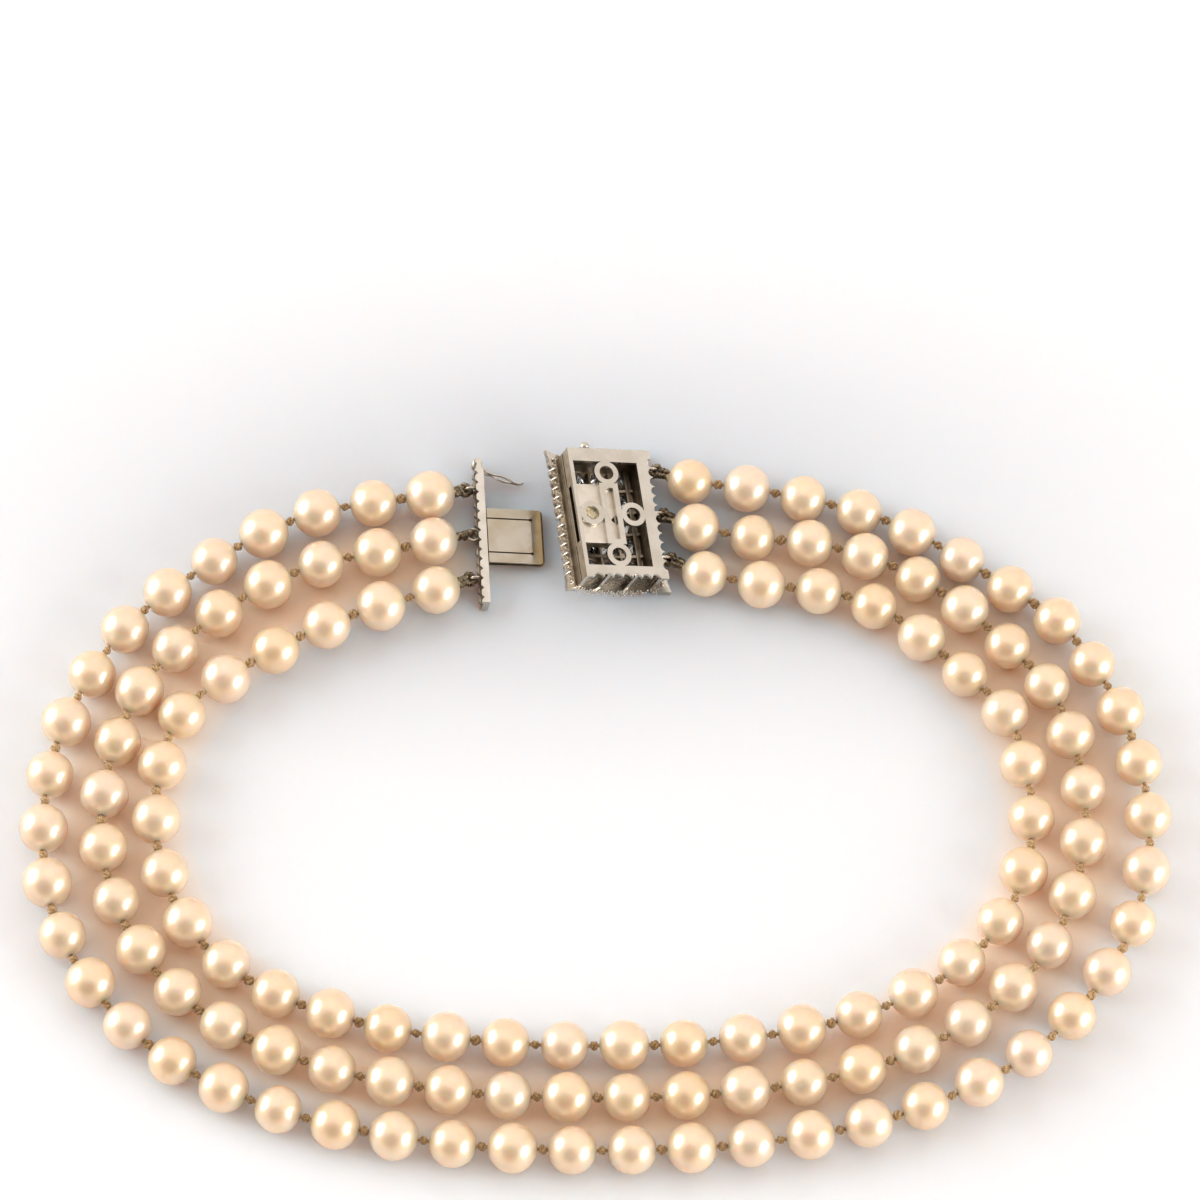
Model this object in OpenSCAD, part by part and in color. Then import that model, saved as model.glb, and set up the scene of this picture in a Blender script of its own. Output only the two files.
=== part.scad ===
// Three-strand pearl necklace with a box clasp, lying open on a table.
// +X runs to the right, +Y away from the viewer and +Z up. The origin is the centre of the
// whole necklace's footprint, on the table.

/* [Pearls] */
// Mean diameter of a pearl at the tongue's end of a strand
pearl_d_tongue = 7.5; // [6.8:0.1:7.7]
// Mean diameter of a pearl at the case's end of a strand
pearl_d_case = 7.2; // [6.8:0.1:7.6]
// How far a pearl's diameter departs from the mean
pearl_vary = 0.2; // [0:0.05:0.25]
// Diameter of the drilled hole
drill_d = 0.9; // [0.8:0.05:1.2]
// Pearls on the outer strand
outer_count = 47; // [45:1:48]
// Pearls on the middle strand
middle_count = 41; // [40:1:42]
// Pearls on the inner strand
inner_count = 35; // [34:1:36]

/* [Thread] */
// Diameter of the silk thread in the pearls
thread_d = 0.6; // [0.4:0.05:0.65]
// Diameter of a knot
knot_d = 1.2; // [0.8:0.1:1.3]
// Length of a knot along the thread
knot_l = 0.7; // [0.4:0.1:0.8]

/* [End loops and rings] */
// Radius of an end loop, to the middle of its coiled wire
loop_r = 0.8; // [0.75:0.05:0.85]
// Thickness of an end loop's coiled wire
loop_t = 0.75; // [0.6:0.05:0.8]
// Radius of a soldered ring, to the middle of its wire
ring_r = 0.95; // [0.9:0.05:1]
// Thickness of a soldered ring's wire
ring_t = 0.5; // [0.4:0.05:0.55]
// Distance from one strand's ring to the next
ring_pitch = 7.6; // [7.4:0.1:7.8]
// Place of the middle strand's ring along the clasp
ring_mid_y = 0.8; // [0.4:0.1:1]

/* [Clasp case] */
// Width of the back plate
case_w = 13.8; // [13.6:0.1:14.2]
// Length of the back plate
case_l = 22; // [21.8:0.1:22.4]
// Thickness of the back plate
plate_t = 0.6; // [0.5:0.05:0.8]
// Thickness of the walls
wall_t = 0.6; // [0.5:0.05:0.7]
// Width of the window in the back plate
window_w = 10.7; // [10.4:0.1:10.8]
// Length of the window in the back plate
window_l = 17.8; // [17.6:0.1:18]
// Outer diameter of the four rings in the window
eye_d = 4; // [3.9:0.05:4.2]
// Hole of the four rings in the window
eye_hole_d = 2.3; // [2:0.1:2.6]
// Pitch of the scallops along the edges
scallop_pitch = 1.6; // [1.5:0.1:1.8]
// Depth of the scallops
scallop_depth = 0.65; // [0.4:0.05:0.7]

/* [Front plate] */
// Width of the front plate
front_w = 17.1; // [16.9:0.1:17.4]
// Length of the front plate
front_l = 23.2; // [22.8:0.1:23.6]
// Thickness of the front plate
front_t = 0.9; // [0.8:0.05:1.1]
// Radius of the front plate's arch across its width
arch_r = 22; // [21:0.5:26]
// Height from the back plate's face to the front plate's edge
case_h = 3.5; // [3.3:0.1:3.7]
// Diameter of a main stone
stone_d = 2.9; // [2.6:0.1:3]
// Diameter of a border stone
small_stone_d = 1.1; // [0.9:0.05:1.15]

/* [Tongue bar] */
// Length of the bar
bar_l = 22.8; // [22.4:0.1:23.2]
// Thickness of the bar
bar_t = 1.3; // [1.1:0.1:1.4]
// Height of the bar
bar_h = 3.3; // [3.1:0.1:3.4]
// Width of the folded tongue
tongue_w = 9.15; // [8.8:0.05:9.2]
// Reach of the tongue from the middle of the bar
tongue_l = 9.7; // [9.2:0.1:10]
// Thickness of the tongue's leaves
leaf_t = 0.32; // [0.25:0.01:0.4]

/* [Safety catch] */
// Distance of the catch's pin from the middle of the bar
pin_y = 12.8; // [12.7:0.05:13]
// Diameter of the catch's pin
pin_d = 0.8; // [0.7:0.05:0.9]
// Radial running clearance of the catch on its pin
pin_gap = 0.05; // [0.03:0.01:0.08]
// Thickness of the catch's wire
catch_t = 0.5; // [0.4:0.05:0.55]
// Angle of the catch from where it lies
catch_angle = 0; // [-4:1:110]

/* [Hidden] */

pearl_fn = 48;
round_fn = 24;
eps = 0.01;
clear = 0.15;

// Colours as the photo shows them
cream = [0.93, 0.84, 0.72];
silk = [0.72, 0.61, 0.44];
coil = [0.42, 0.37, 0.29];
gold = [0.80, 0.77, 0.72];
spring = [0.74, 0.68, 0.58];
crystal = [0.82, 0.86, 0.90];

// The middle of the whole footprint, in the strands' own plan
plan_mid = [-0.66, -33.39, 0];

// Each half of the clasp lies at a place, with a roll about its length and a yaw on the table
case_pose = [[2.8, 13.2, 7.15] - plan_mid, 22, 8.2];
bar_pose = [[-18.1, 11.2, 3.4] - plan_mid, 10.5, 3.3];

// Routes of the strands over the table, from the tongue's first pearl to the case's first
// pearl. Columns: x, y
outer_route = [
    [-26.3, 17.7], [-35.2, 16.4], [-43.5, 14.8], [-51.5, 11.4], [-59, 6.9], [-66.2, 1.5],
    [-73.3, -5.4], [-81.5, -20.5], [-84.3, -38], [-80.5, -56], [-67.5, -72.5], [-47.5, -83],
    [-24, -88], [0, -89.3], [24, -88], [46.5, -83], [66, -72.5], [79, -56], [83.1, -38],
    [80, -20], [71.5, -5], [63.7, 1.4], [56, 6.8], [48.3, 11.4], [40, 15], [31.7, 17.2],
    [22.8, 18.9], [14, 20.2]
];
middle_route = [
    [-25.7, 9.9], [-34.3, 8], [-42.6, 6.2], [-50.6, 2.8], [-58.2, -2], [-64.9, -8],
    [-70.3, -15], [-74.4, -27], [-75.3, -40], [-70.6, -55], [-60, -67], [-43, -75.6],
    [-22, -79.9], [0, -81], [22, -79.9], [42, -75.6], [58, -67], [68.6, -55], [73.2, -40],
    [72.8, -27], [68.6, -14.8], [62.4, -7.6], [55.8, -1.3], [48.5, 3.9], [40.9, 7.4],
    [32.6, 9.6], [23.6, 10.6], [14.9, 12.3]
];
inner_route = [
    [-25.2, 1.7], [-33.8, -1.1], [-42.5, -4.4], [-50.5, -8.8], [-58.3, -14], [-64.6, -20.4],
    [-67, -31], [-66.6, -42], [-61.5, -54], [-51.5, -63], [-36, -69], [-18, -72], [0, -72.8],
    [18, -72], [35, -69], [49.5, -63], [59.5, -54], [64.8, -42], [65, -31], [61.8, -18.8],
    [54.8, -11.4], [48, -5.2], [41.1, -0.5], [33.4, 1.6], [24.9, 2.6], [16.2, 4.5]
];

// Each strand: route, number of pearls, ring along the clasp counted from the middle one
outer = [outer_route, outer_count, 1];
middle = [middle_route, middle_count, 0];
inner = [inner_route, inner_count, -1];

// Sizes of the clasp that follow from those above. Heights count down from the back plate.
window_x = -0.9;
window_y = -0.15;
right_wall_x = 5;
end_wall_y = 9.3;
front_x = -0.25;
front_y = 0.15;
arch_drop = front_w * front_w / 8 / arch_r;
arch_top_z = -case_h - front_t - arch_drop + arch_r;
arch_span = 60;
case_inside_z = -case_h - front_t - arch_drop;
post_t = 0.5;
post_xs = [-2.9, 1.7, 5.9];
post_south_y = -10.6;
post_north_y = 10.1;
groove_zs = [-2.25, -2.95];
groove_h = 0.22;
groove_depth = 0.12;
ledge_l = 6.4;
ledge_t = 0.4;
ledge_rail_t = 0.3;
ledge_rail_h = 1.1;
ledge_drop = 0.55;

// Lobes of the front plate's edge: their number along and across, pitch and radius
lobes_y = 13;
lobes_x = 9;
lobe_y = (front_l - 3.9) / (lobes_y - 1);
lobe_x = (front_w - 3.9) / (lobes_x - 1);
lobe_r = 0.68;
lobe_in = 0.75;
// The lobe at the middle of the left side is left out, for a fingernail
notch_lobe = 6;
// Places of the main stones: pitch across and along
stone_pitch_x = 3.6;
stone_pitch_y = 3.75;
seat_gap = 0.06;
small_seat_depth = 0.75;
slot_w = 9.5;
slot_h = 1.05;
case_ring_x = 7.5;
ring_z = -1.9;
loop_tilt = 12;
ball_d = 1.5;
ball_at = [-3.1, 12.1, -1.7];
bar_ring_x = -bar_t / 2 - 0.45;
bar_teeth = 14;
bar_groove_depth = 0.3;
bar_lower_t = 0.5;
bar_upper_t = 0.6;
bar_tooth = [[-1, -0.9], [-1, 0.9], [0, 0.42], [0.42, 0], [0, -0.42]];
// The tongue side's middle ring lies flat, the others stand upright
flat_ring = 0;

// Middle line of the folded leaf, seen along the bar: lower leaf, fold, nose and upper leaf
fold_r = 0.42;
leaf_low_z = -plate_t - slot_h + leaf_t / 2 + 0.1;
leaf_line = concat(
    [[bar_t / 2 - 0.2, leaf_low_z]],
    [for (a = [-90:30:60]) [tongue_l - 0.6 + fold_r * cos(a), leaf_low_z + fold_r * (1 + sin(a))]],
    [[tongue_l - 1.1, -0.75], [tongue_l - 2, -0.58], [bar_t / 2 + 0.15, -0.2]]);
leaf_slot_y = 2.87;
leaf_slot_w = 0.24;
leaf_slot_end = tongue_l - 2;
leaf_slot_hole_d = 0.5;
// Cut corners of the tongue's nose: how far along and across
nose_cuts = [[0.75, 0], [0.25, 0.25], [0, 0.75]];

// Points of the catch's strip from its pin. Columns: x, y
catch_route = [[0, 0], [1.35, -1.6], [6.2, -3.4], [6.95, -3.2]];
// Distance of the catch's eye from the strip's first bend, and the eye's outer and inner size
catch_eye_run = 2.7;
catch_eye_d = 2.3;
catch_eye_hole_d = 1.35;
catch_h = 0.9;
catch_z = -1.4;
knuckle_d = 1.7;
knuckle_h = 1.3;
ear_t = 0.4;
ear_gap = 0.1;
ear_w = 1;
joint_d = catch_t + 0.08;

// Turns a point by a roll about Y and then a yaw about Z, and moves it to its place
function roll(p, a) = [p[0] * cos(a) + p[2] * sin(a), p[1], p[2] * cos(a) - p[0] * sin(a)];
function yaw(p, a) = [p[0] * cos(a) - p[1] * sin(a), p[0] * sin(a) + p[1] * cos(a), p[2]];
function on_table(pose, p) = pose[0] + yaw(roll(p, pose[1]), pose[2]);
function unit(v) = v / norm(v);

// A smooth curve through hand-placed points
function knot_at(p, i) = p[max(0, min(len(p) - 1, i))];
function curve_at(p, i, t) =
    let (a = knot_at(p, i - 1), b = knot_at(p, i), c = knot_at(p, i + 1), d = knot_at(p, i + 2))
    0.5 * (2 * b + (c - a) * t + (2 * a - 5 * b + 4 * c - d) * t * t
        + (3 * b - a - 3 * c + d) * t * t * t);
function fine(p) = concat(
    [for (i = [0:len(p) - 2]) for (k = [0:7]) curve_at(p, i, k / 8)],
    [p[len(p) - 1]]);
function run_lengths(q) = [
    for (i = 0, s = 0; i < len(q);
        s = s + (i < len(q) - 1 ? norm(q[i + 1] - q[i]) : 0), i = i + 1) s
];
function column(s, q, k) = [for (i = [0:len(q) - 1]) [s[i], q[i][k]]];

// Diameters swing round a mean that runs from one end of the strand to the other
function pearl_size(strand, i) =
    pearl_d_tongue + (pearl_d_case - pearl_d_tongue) * i / (strand[1] - 1)
    + pearl_vary * sin(137 * i + 80 * strand[2]);

// Centres of a strand's pearls, evenly spaced along its route, each resting on the table
function pearl_places(strand) =
    let (q = fine(strand[0]), s = run_lengths(q), last = len(q) - 1)
    let (xs = column(s, q, 0), ys = column(s, q, 1), step = s[last] / (strand[1] - 1))
    [for (i = [0:strand[1] - 1])
        [lookup(i * step, xs), lookup(i * step, ys), pearl_size(strand, i) / 2] - plan_mid];
function heading(c, i) =
    let (v = c[min(len(c) - 1, i + 1)] - c[max(0, i - 1)])
    unit([v[0], v[1], 0]);

// An end loop hangs on the far side of its ring, tilted up towards the strand
function bar_loop(k) = [bar_ring_x - ring_r, ring_mid_y + k * ring_pitch, ring_z];
function case_loop(k) = [case_ring_x + ring_r, ring_mid_y + k * ring_pitch, ring_z];
function loop_edge(at, pearl) = at + unit(pearl - at) * (loop_r + loop_t / 2 + clear);

// Rings of the thread: centre and radius, from one end loop to the other
function thread_rings(strand) =
    let (c = pearl_places(strand), n = len(c), r = thread_d / 2)
    let (first = loop_edge(on_table(bar_pose, bar_loop(strand[2])), c[0]))
    let (last = loop_edge(on_table(case_pose, case_loop(strand[2])), c[n - 1]))
    concat(
        [[first, r]],
        [for (i = [0:n - 1]) each
            let (t = heading(c, i), a = c[i] - t * c[i][2], b = c[i] + t * c[i][2])
            i == n - 1 ? [[a, r], [b, r]] :
            let (u = heading(c, i + 1), next = c[i + 1] - u * c[i + 1][2])
            let (mid = (b + next) / 2, half = unit(next - b) * knot_l / 2)
            [[a, r], [b, r], [mid - half, knot_d / 2], [mid + half, knot_d / 2]]],
        [[last, r]]);

// A six-sided tube along the rings, closed at both ends
module tube(rings) {
    sides = 6;
    n = len(rings);
    points = [
        for (i = [0:n - 1])
            let (t = unit(rings[min(n - 1, i + 1)][0] - rings[max(0, i - 1)][0]))
            let (side = unit(cross(t, [0, 0, 1])), up = cross(side, t))
            for (k = [0:sides - 1])
                rings[i][0] + rings[i][1] * (cos(60 * k) * side + sin(60 * k) * up)
    ];
    walls = [
        for (i = [0:n - 2]) for (k = [0:sides - 1])
            let (a = i * sides + k, b = i * sides + (k + 1) % sides)
            each [[a, a + sides, b], [b, a + sides, b + sides]]
    ];
    start = [[for (k = [0:sides - 1]) k]];
    finish = [[for (k = [sides - 1:-1:0]) (n - 1) * sides + k]];
    polyhedron(points, concat(walls, start, finish));
}

module put(pose) {
    translate(pose[0]) rotate([0, pose[1], pose[2]]) children();
}

module pearls(strand) {
    c = pearl_places(strand);
    color(cream)
    for (i = [0:len(c) - 1])
        let (t = heading(c, i), d = 2 * c[i][2])
        translate(c[i]) rotate([0, 90, atan2(t[1], t[0])])
        difference() {
            sphere(d = d, $fn = pearl_fn);
            cylinder(d = drill_d, h = d + 1, center = true, $fn = round_fn);
        }
}

module thread(strand) {
    color(silk) tube(thread_rings(strand));
}

module wire_ring(r, t) {
    rotate_extrude($fn = round_fn) translate([r, 0]) circle(d = t, $fn = round_fn);
}

// An end loop lies across its ring: flat in an upright ring, upright in a flat one
module end_loop(pose, at, tilt, ring_is_flat) {
    color(coil) put(pose) translate(at) rotate([0, tilt, 0]) rotate([ring_is_flat ? 90 : 0, 0, 0])
        wire_ring(loop_r, loop_t);
}

module bar_end_loop(k) {
    end_loop(bar_pose, bar_loop(k), loop_tilt, k == flat_ring);
}

module case_end_loop(k) {
    end_loop(case_pose, case_loop(k), -loop_tilt, false);
}

module rod(a, b, d) {
    v = b - a;
    translate(a) rotate([0, acos(v[2] / norm(v)), atan2(v[1], v[0])])
        cylinder(d = d, h = norm(v), $fn = round_fn);
}

// A row of cylinders along an edge, for scallops and bites
module row(count, from, step, r, h) {
    for (i = [0:count - 1])
        translate(from + i * step) cylinder(r = r, h = h, center = true, $fn = round_fn);
}

// The number of scallops that fit an edge, clear of its corners
function fit_count(l) = floor((l - 1.6) / scallop_pitch);

// Pierced back plate: rim, window with four rings round an upright frame, bitten edges
module back_plate() {
    bite_r = 0.75;
    out = bite_r - scallop_depth;
    ny = fit_count(case_l);
    nx = fit_count(case_w);
    cut = plate_t + 1;
    difference() {
        translate([-case_w / 2, -case_l / 2, -plate_t]) cube([case_w, case_l, plate_t]);
        translate([window_x, window_y, -plate_t / 2]) cube([window_w, window_l, cut], center = true);
        row(ny, [case_w / 2 + out, -(ny - 1) * scallop_pitch / 2, -plate_t / 2],
            [0, scallop_pitch, 0], bite_r, cut);
        row(nx, [-(nx - 1) * scallop_pitch / 2, -case_l / 2 - out, -plate_t / 2],
            [scallop_pitch, 0, 0], bite_r, cut);
    }
    window_gallery();
}

module window_gallery() {
    sink = 0.1;
    reach_x = (window_w - eye_d) / 2 + sink;
    reach_y = (window_l - eye_d) / 2 + sink;
    frame_w = 3.1;
    frame_l = 2 * reach_y - eye_d + 0.4;
    opening_w = 1.3;
    opening_l = frame_l - 1.6;
    translate([window_x, window_y, -plate_t]) {
        for (p = [[reach_x, 0], [-reach_x, 0], [0, reach_y], [0, -reach_y]])
            translate([p[0], p[1], 0]) difference() {
                cylinder(d = eye_d, h = plate_t, $fn = 48);
                translate([0, 0, -1]) cylinder(d = eye_hole_d, h = plate_t + 2, $fn = 48);
            }
        difference() {
            translate([-frame_w / 2, -frame_l / 2, 0]) cube([frame_w, frame_l, plate_t]);
            translate([-opening_w / 2, -opening_l / 2, -1])
                cube([opening_w, opening_l, plate_t + 2]);
        }
    }
}

// Walls and posts hang from the back plate and end inside the front plate
module case_walls() {
    left = -case_w / 2;
    tall = -case_inside_z - plate_t + eps;
    intersection() {
        union() {
            translate([left, -case_l / 2 + 0.1, case_inside_z]) cube([wall_t, case_l - 0.2, tall]);
            translate([right_wall_x, -end_wall_y - wall_t, case_inside_z])
                cube([wall_t, 2 * (end_wall_y + wall_t), tall]);
            for (y = [-end_wall_y - wall_t, end_wall_y])
                translate([left + eps, y, case_inside_z])
                    cube([right_wall_x - left, wall_t, tall]);
            for (x = post_xs, y = [post_south_y, post_north_y])
                translate([x - post_t / 2, y, case_inside_z]) cube([post_t, post_t, tall]);
        }
        arch_cylinder(arch_r - front_t + 0.12);
    }
}

module arch_cylinder(r) {
    translate([front_x, 0, arch_top_z]) rotate([90, 0, 0])
        cylinder(r = r, h = arch_span, center = true, $fn = 180);
}

// Ledge with a rail at each side that the tongue slides on, held by the left wall
module tongue_pocket() {
    left = -case_w / 2 + eps;
    ledge_z = -plate_t - slot_h - ledge_drop;
    translate([left, -slot_w / 2 - ledge_rail_t, ledge_z])
        cube([ledge_l, slot_w + 2 * ledge_rail_t, ledge_t]);
    for (y = [-slot_w / 2 - ledge_rail_t, slot_w / 2])
        translate([left, y, ledge_z]) cube([ledge_l, ledge_rail_t, ledge_rail_h]);
}

module tongue_slot() {
    translate([-case_w / 2 - 1, -slot_w / 2, -plate_t - slot_h]) cube([wall_t + 1.2, slot_w, slot_h]);
}

// Two grooves run along the left wall
module wall_grooves() {
    for (z = groove_zs)
        translate([-case_w / 2 - 1, -case_l / 2 - 1, z])
            cube([1 + groove_depth, case_l + 2, groove_h]);
}

// Arched front plate with a lobed edge, pointed corners and a seat for each stone
module front_plate() {
    edge = front_w / 2 - lobe_in;
    end = front_l / 2 - lobe_in;
    tall = 6;
    difference() {
        intersection() {
            difference() {
                arch_cylinder(arch_r);
                arch_cylinder(arch_r - front_t);
            }
            translate([front_x, front_y, -5]) {
                cube([2 * edge, 2 * end, tall], center = true);
                for (p = edge_places()) translate([p[0], p[1], 0])
                    cylinder(r = lobe_r, h = tall, center = true, $fn = round_fn);
                for (x = [-1, 1], y = [-1, 1]) horn_corner(x, y, edge, end, tall);
            }
        }
        for (p = main_places()) seat(p, stone_d, front_t + 1);
        for (p = border_places()) seat(p, small_stone_d, small_seat_depth);
    }
}

// Points of a corner, in and out from the plate's edge. Columns: across, along
horn_points = [[-1.6, -1.6], [0.5, -1], [1, 1.1], [-0.9, 0.55]];

module horn_corner(x, y, edge, end, tall) {
    translate([0, 0, -tall / 2]) linear_extrude(tall)
        polygon([for (p = horn_points) [x * (edge + p[0]), y * (end + p[1])]]);
}

// Middles of the lobes along the plate's edge
function edge_places() = concat(
    [for (s = [-1, 1]) for (i = [0:lobes_y - 1]) if (s > 0 || i != notch_lobe)
        [s * (front_w / 2 - lobe_in), (i - (lobes_y - 1) / 2) * lobe_y]],
    [for (s = [-1, 1]) for (i = [0:lobes_x - 1])
        [(i - (lobes_x - 1) / 2) * lobe_x, s * (front_l / 2 - lobe_in)]]);

// Places on the arched plate. Columns: distance across, distance along
function main_places() = [for (x = [-1:1]) for (y = [-2:2]) [x * stone_pitch_x, y * stone_pitch_y]];
function border_places() = [
    for (p = edge_places()) [abs(p[0]) > front_w / 2 - 1 ? p[0] - sign(p[0]) * 0.1 : p[0],
        abs(p[1]) > front_l / 2 - 1 ? p[1] - sign(p[1]) * 0.1 : p[1]]
];

// Puts a child on the arch with its +Z out of the front face
module on_arch(p) {
    translate([front_x, front_y + p[1], arch_top_z]) rotate([0, -asin(p[0] / arch_r), 0])
        translate([0, 0, -arch_r]) rotate([180, 0, 0]) children();
}

module seat(p, d, deep) {
    on_arch(p) translate([0, 0, -deep]) cylinder(d = d + 2 * seat_gap, h = deep + 2, $fn = round_fn);
}

// A round brilliant with its table at the height of the plate's face
module brilliant(d) {
    crown = 0.15 * d;
    girdle = 0.05 * d;
    translate([0, 0, -crown - eps]) cylinder(d1 = d, d2 = 0.58 * d, h = crown, $fn = 8);
    translate([0, 0, -crown - girdle - eps]) cylinder(d = d, h = girdle, $fn = 8);
    translate([0, 0, -crown - girdle - 0.42 * d - eps])
        cylinder(d1 = 0.06, d2 = d, h = 0.42 * d, $fn = 8);
}

module stones(places, d) {
    color(crystal) put(case_pose) for (p = places) on_arch(p) brilliant(d);
}

// A soldered ring at the wall: two legs and a half ring
module staple(x, wall_x, y) {
    translate([x, y, ring_z]) rotate([90, 0, 0]) {
        rotate_extrude(angle = 180, start = -90, $fn = round_fn)
            translate([ring_r, 0]) circle(d = ring_t, $fn = round_fn);
        for (s = [-1, 1])
            translate([wall_x - x, s * ring_r, 0]) rotate([0, 90, 0])
                cylinder(d = ring_t - 0.06, h = x - wall_x + 0.1, $fn = round_fn);
    }
}

module safety_ball() {
    translate(ball_at) sphere(d = ball_d, $fn = 32);
    rod([ball_at[0], end_wall_y + wall_t / 2, ball_at[2]], ball_at, 0.6);
}

module clasp_case() {
    color(gold) put(case_pose) {
        difference() {
            union() {
                back_plate();
                case_walls();
            }
            tongue_slot();
            wall_grooves();
        }
        tongue_pocket();
        front_plate();
        safety_ball();
        for (k = [-1:1])
            staple(case_ring_x, right_wall_x + wall_t / 2, ring_mid_y + k * ring_pitch);
    }
}

// Outline of a strip of even thickness along a line of points in the plane
function strip(p, t) =
    let (n = len(p))
    let (side = [for (i = [0:n - 1])
        let (v = unit(p[min(n - 1, i + 1)] - p[max(0, i - 1)])) [-v[1], v[0]] * t / 2])
    concat([for (i = [0:n - 1]) p[i] + side[i]], [for (i = [n - 1:-1:0]) p[i] - side[i]]);

// The folded leaf seen from above, with the corners of its nose cut
module tongue_outline() {
    w = tongue_w / 2;
    linear_extrude(3, center = true) polygon(concat(
        [[0, -w]], [for (c = nose_cuts) [tongue_l - c[0], c[1] - w]],
        [for (i = [len(nose_cuts) - 1:-1:0]) [tongue_l - nose_cuts[i][0], w - nose_cuts[i][1]]],
        [[0, w]]));
}

module tongue() {
    difference() {
        intersection() {
            translate([0, tongue_w / 2 + 1, 0]) rotate([90, 0, 0]) linear_extrude(tongue_w + 2)
                polygon(strip(leaf_line, leaf_t));
            tongue_outline();
        }
        for (s = [-1, 1]) {
            translate([0, s * leaf_slot_y - leaf_slot_w / 2, -0.95]) cube([leaf_slot_end, leaf_slot_w, 2]);
            translate([leaf_slot_end, s * leaf_slot_y, -1])
                cylinder(d = leaf_slot_hole_d, h = 2, $fn = round_fn);
        }
    }
}

// Channel-shaped bar whose outer edge has a row of triangular gaps
module bar() {
    pitch = bar_l / bar_teeth;
    difference() {
        translate([-bar_t / 2, -bar_l / 2, -bar_h]) cube([bar_t, bar_l, bar_h]);
        translate([-bar_t / 2 - 1, -bar_l / 2 - 1, -bar_h + bar_lower_t])
            cube([1 + bar_groove_depth, bar_l + 2, bar_h - bar_lower_t - bar_upper_t]);
        for (i = [0:bar_teeth - 1])
            translate([-bar_t / 2, (i + 0.5) * pitch - bar_l / 2, -bar_h - 1])
                linear_extrude(bar_h + 2) polygon(bar_tooth);
    }
}

module bar_ring(k) {
    translate([bar_ring_x, ring_mid_y + k * ring_pitch, ring_z])
        rotate([k == flat_ring ? 0 : 90, 0, 0]) wire_ring(ring_r, ring_t);
}

// Two ears at the bar's end hold the pin of the safety catch
module catch_ears() {
    root = bar_l / 2 - 0.3;
    low = catch_z - knuckle_h / 2 - ear_gap - ear_t;
    high = catch_z + knuckle_h / 2 + ear_gap;
    for (z = [low, high]) {
        translate([0, pin_y, z]) cylinder(d = knuckle_d, h = ear_t, $fn = round_fn);
        translate([-ear_w / 2, root, z]) cube([ear_w, pin_y - root, ear_t]);
    }
    translate([0, pin_y, low]) cylinder(d = pin_d, h = high - low + ear_t, $fn = round_fn);
    translate([-ear_w / 2, root, low]) cube([ear_w, 0.5, high - low + ear_t]);
}

module tongue_bar() {
    color(gold) put(bar_pose) {
        bar();
        for (k = [-1:1]) bar_ring(k);
        catch_ears();
    }
    color(spring) put(bar_pose) tongue();
}

// A flat strip on its edge from one point to the next
module strip_between(a, b) {
    v = b - a;
    translate(a) rotate(atan2(v[1], v[0])) translate([0, -catch_t / 2, -catch_h / 2])
        cube([norm(v), catch_t, catch_h]);
}

// Knuckle on the pin, bent strip and the eye that snaps over the ball
module safety_catch() {
    bend = catch_route[1];
    run = catch_route[2] - bend;
    color(gold) put(bar_pose) translate([0, pin_y, catch_z]) rotate(catch_angle)
    difference() {
        union() {
            cylinder(d = knuckle_d, h = knuckle_h, center = true, $fn = round_fn);
            for (i = [0:len(catch_route) - 2])
                strip_between(catch_route[i], catch_route[i + 1]);
            for (i = [1:len(catch_route) - 1])
                translate(catch_route[i])
                    cylinder(d = joint_d, h = catch_h, center = true, $fn = round_fn);
            translate(bend + catch_eye_run * unit(run)) rotate(atan2(run[1], run[0]))
                rotate([90, 0, 0])
                    cylinder(d = catch_eye_d, h = catch_t + 0.06, center = true, $fn = 32);
        }
        translate(bend + catch_eye_run * unit(run)) rotate(atan2(run[1], run[0]))
            rotate([90, 0, 0]) cylinder(d = catch_eye_hole_d, h = 2, center = true, $fn = 32);
        cylinder(r = pin_d / 2 + pin_gap, h = knuckle_h + 1, center = true, $fn = round_fn);
    }
}

pearls(outer);  // pearls_outer
pearls(middle);  // pearls_middle
pearls(inner);  // pearls_inner
thread(outer);  // thread_outer
thread(middle);  // thread_middle
thread(inner);  // thread_inner
bar_end_loop(1);  // end_loop_tongue_outer
bar_end_loop(0);  // end_loop_tongue_middle
bar_end_loop(-1);  // end_loop_tongue_inner
case_end_loop(1);  // end_loop_case_outer
case_end_loop(0);  // end_loop_case_middle
case_end_loop(-1);  // end_loop_case_inner
clasp_case();
stones(main_places(), stone_d);  // front_stones
stones(border_places(), small_stone_d);  // border_stones
tongue_bar();
safety_catch();
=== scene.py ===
import math
import random

import bmesh
import bpy
from mathutils import Matrix, Vector


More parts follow.
